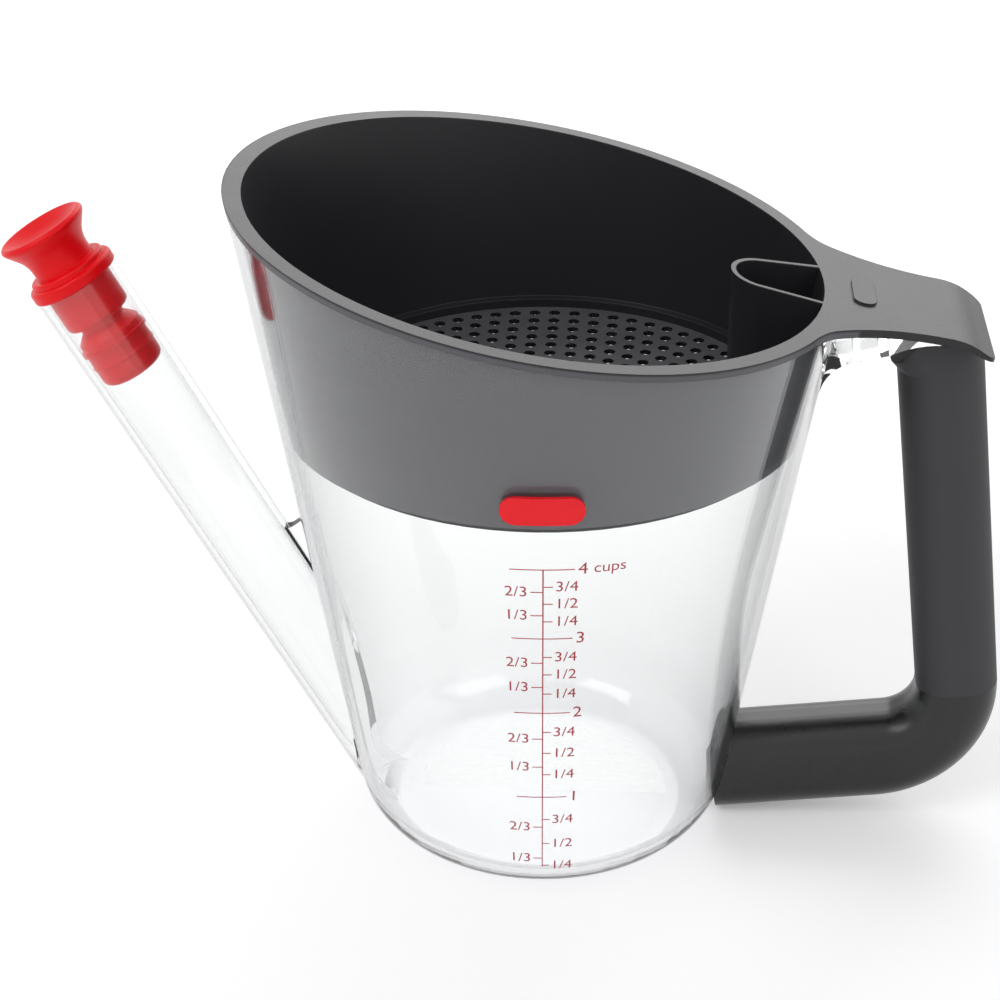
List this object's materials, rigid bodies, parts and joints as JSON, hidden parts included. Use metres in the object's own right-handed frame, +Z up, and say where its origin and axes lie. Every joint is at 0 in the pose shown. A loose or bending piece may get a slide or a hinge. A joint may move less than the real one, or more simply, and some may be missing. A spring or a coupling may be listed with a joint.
{
  "type": "gravy fat separator",
  "caption": "Clear conical measuring cup with a low-rooted pouring spout, a stopper, a side handle and a lift-out slanted strainer with a vent chimney.",
  "frame": {"origin": "centre of the cup's flat base, on the surface that it stands on", "axes": "+Z up, +X towards the handle and -X towards the spout, +Y to the cup's back, away from the badge"},
  "size_m": [0.2465, 0.1448, 0.1745],
  "materials": {
    "clear_plastic": "clear polished plastic",
    "arm_plastic": "satin black hard plastic",
    "grip_rubber": "soft matt dark grip",
    "badge_red": "glossy red",
    "strainer_plastic": "fine-grained dark grey plastic",
    "stopper_silicone": "smooth red silicone"
  },
  "bodies": {
    "vessel": {"cup": "clear_plastic", "spout": "clear_plastic", "handle_arm": "arm_plastic", "handle_grip": "grip_rubber", "front_badge": "badge_red"},
    "strainer": {"strainer_bowl": "strainer_plastic", "strainer_screen": "strainer_plastic"},
    "stopper": {"stopper": "stopper_silicone"}
  },
  "joints": [
    {"name": "strainer_lift", "type": "slide", "parent": "vessel", "child": "strainer", "axis": [0, 0, 1], "range_m": [0, 0.08]},
    {"name": "stopper_pull", "type": "slide", "parent": "vessel", "child": "stopper", "axis": [-0.4769, 0, 0.879], "range_m": [0, 0.035]}
  ]
}
